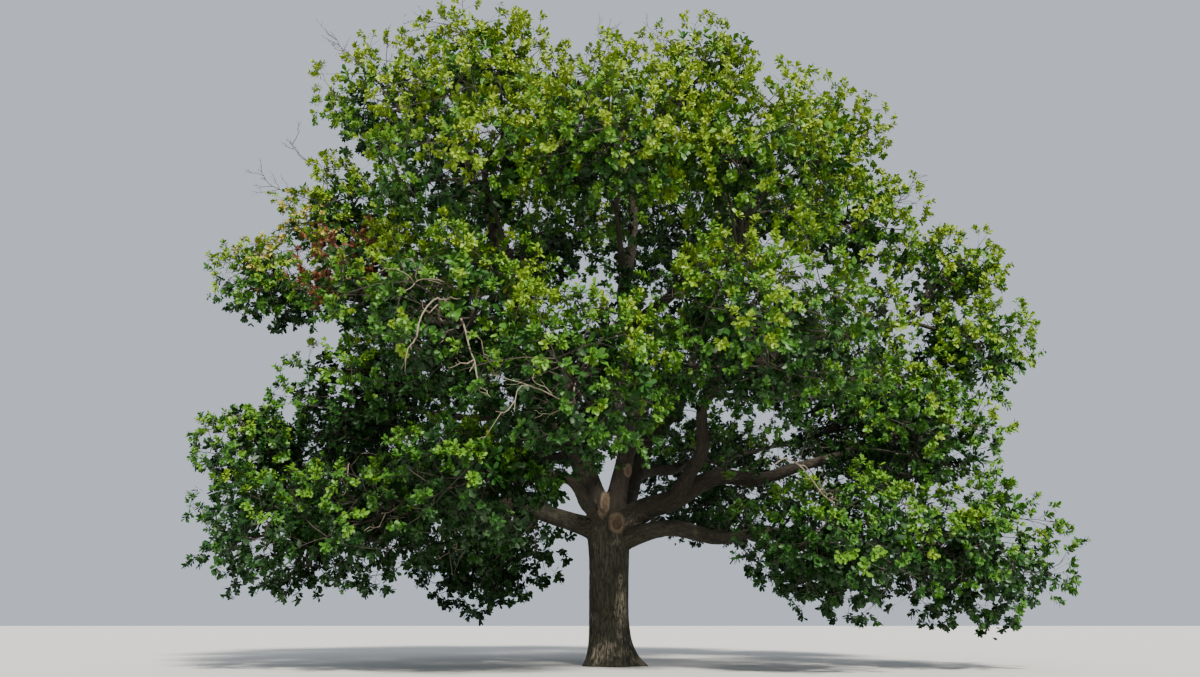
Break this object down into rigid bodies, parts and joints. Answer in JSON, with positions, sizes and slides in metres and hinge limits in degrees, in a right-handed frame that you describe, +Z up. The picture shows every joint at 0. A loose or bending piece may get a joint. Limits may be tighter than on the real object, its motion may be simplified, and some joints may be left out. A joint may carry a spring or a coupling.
{
  "type": "oak tree",
  "caption": "Broad spreading oak in full leaf: short thick trunk with a flared foot, low fork, wide crooked boughs and a rounded crown of leaf masses.",
  "frame": {"origin": "centre of the flat cut under the trunk, at ground level", "axes": "+Z up; +X to the right and +Y away from the viewer as the picture shows the tree"},
  "size_m": [33.3802, 27.6966, 25.6447],
  "materials": {
    "bark": "grey-brown furrowed bark, matte",
    "foliage": "lobed leaves, mid to dark green, sunlit yellow-green on top, soft sheen"
  },
  "bodies": {
    "root": {"bough_back_centre": "bark", "bough_back_left": "bark", "bough_back_left_low": "bark", "bough_back_right": "bark", "bough_back_right_low": "bark", "bough_drooping": "bark", "bough_front_centre": "bark", "bough_front_high": "bark", "bough_front_left": "bark", "bough_front_left_high": "bark", "bough_front_right": "bark", "bough_leader": "bark", "bough_left_level": "bark", "bough_left_level_inner": "bark", "bough_left_low": "bark", "bough_left_low_inner": "bark", "bough_left_mid": "bark", "bough_left_up": "bark", "bough_right_big": "bark", "bough_right_high": "bark", "bough_right_level": "bark", "bough_right_low": "bark", "bough_right_low_inner": "bark", "bough_upper_left_low": "bark", "foliage_back_centre": "foliage", "foliage_back_left": "foliage", "foliage_back_left_low": "foliage", "foliage_back_left_top": "foliage", "foliage_back_right": "foliage", "foliage_back_right_low": "foliage", "foliage_back_right_top": "foliage", "foliage_drooping": "foliage", "foliage_front_centre": "foliage", "foliage_front_high": "foliage", "foliage_front_left": "foliage", "foliage_front_left_high": "foliage", "foliage_front_left_low": "foliage", "foliage_front_right": "foliage", "foliage_front_right_high": "foliage", "foliage_left_back_low": "foliage", "foliage_left_level_inner": "foliage", "foliage_left_level_tip": "foliage", "foliage_left_low_inner": "foliage", "foliage_left_low_outer": "foliage", "foliage_left_low_tip": "foliage", "foliage_left_mid": "foliage", "foliage_right_back_low": "foliage", "foliage_right_level_high": "foliage", "foliage_right_level_tip": "foliage", "foliage_right_low_inner": "foliage", "foliage_right_low_outer": "foliage", "foliage_right_mid": "foliage", "foliage_right_upper": "foliage", "foliage_top_centre": "foliage", "foliage_top_left": "foliage", "foliage_top_right": "foliage", "foliage_upper_left": "foliage", "foliage_upper_left_low": "foliage", "foliage_upper_right": "foliage", "trunk": "bark"}
  },
  "joints": []
}
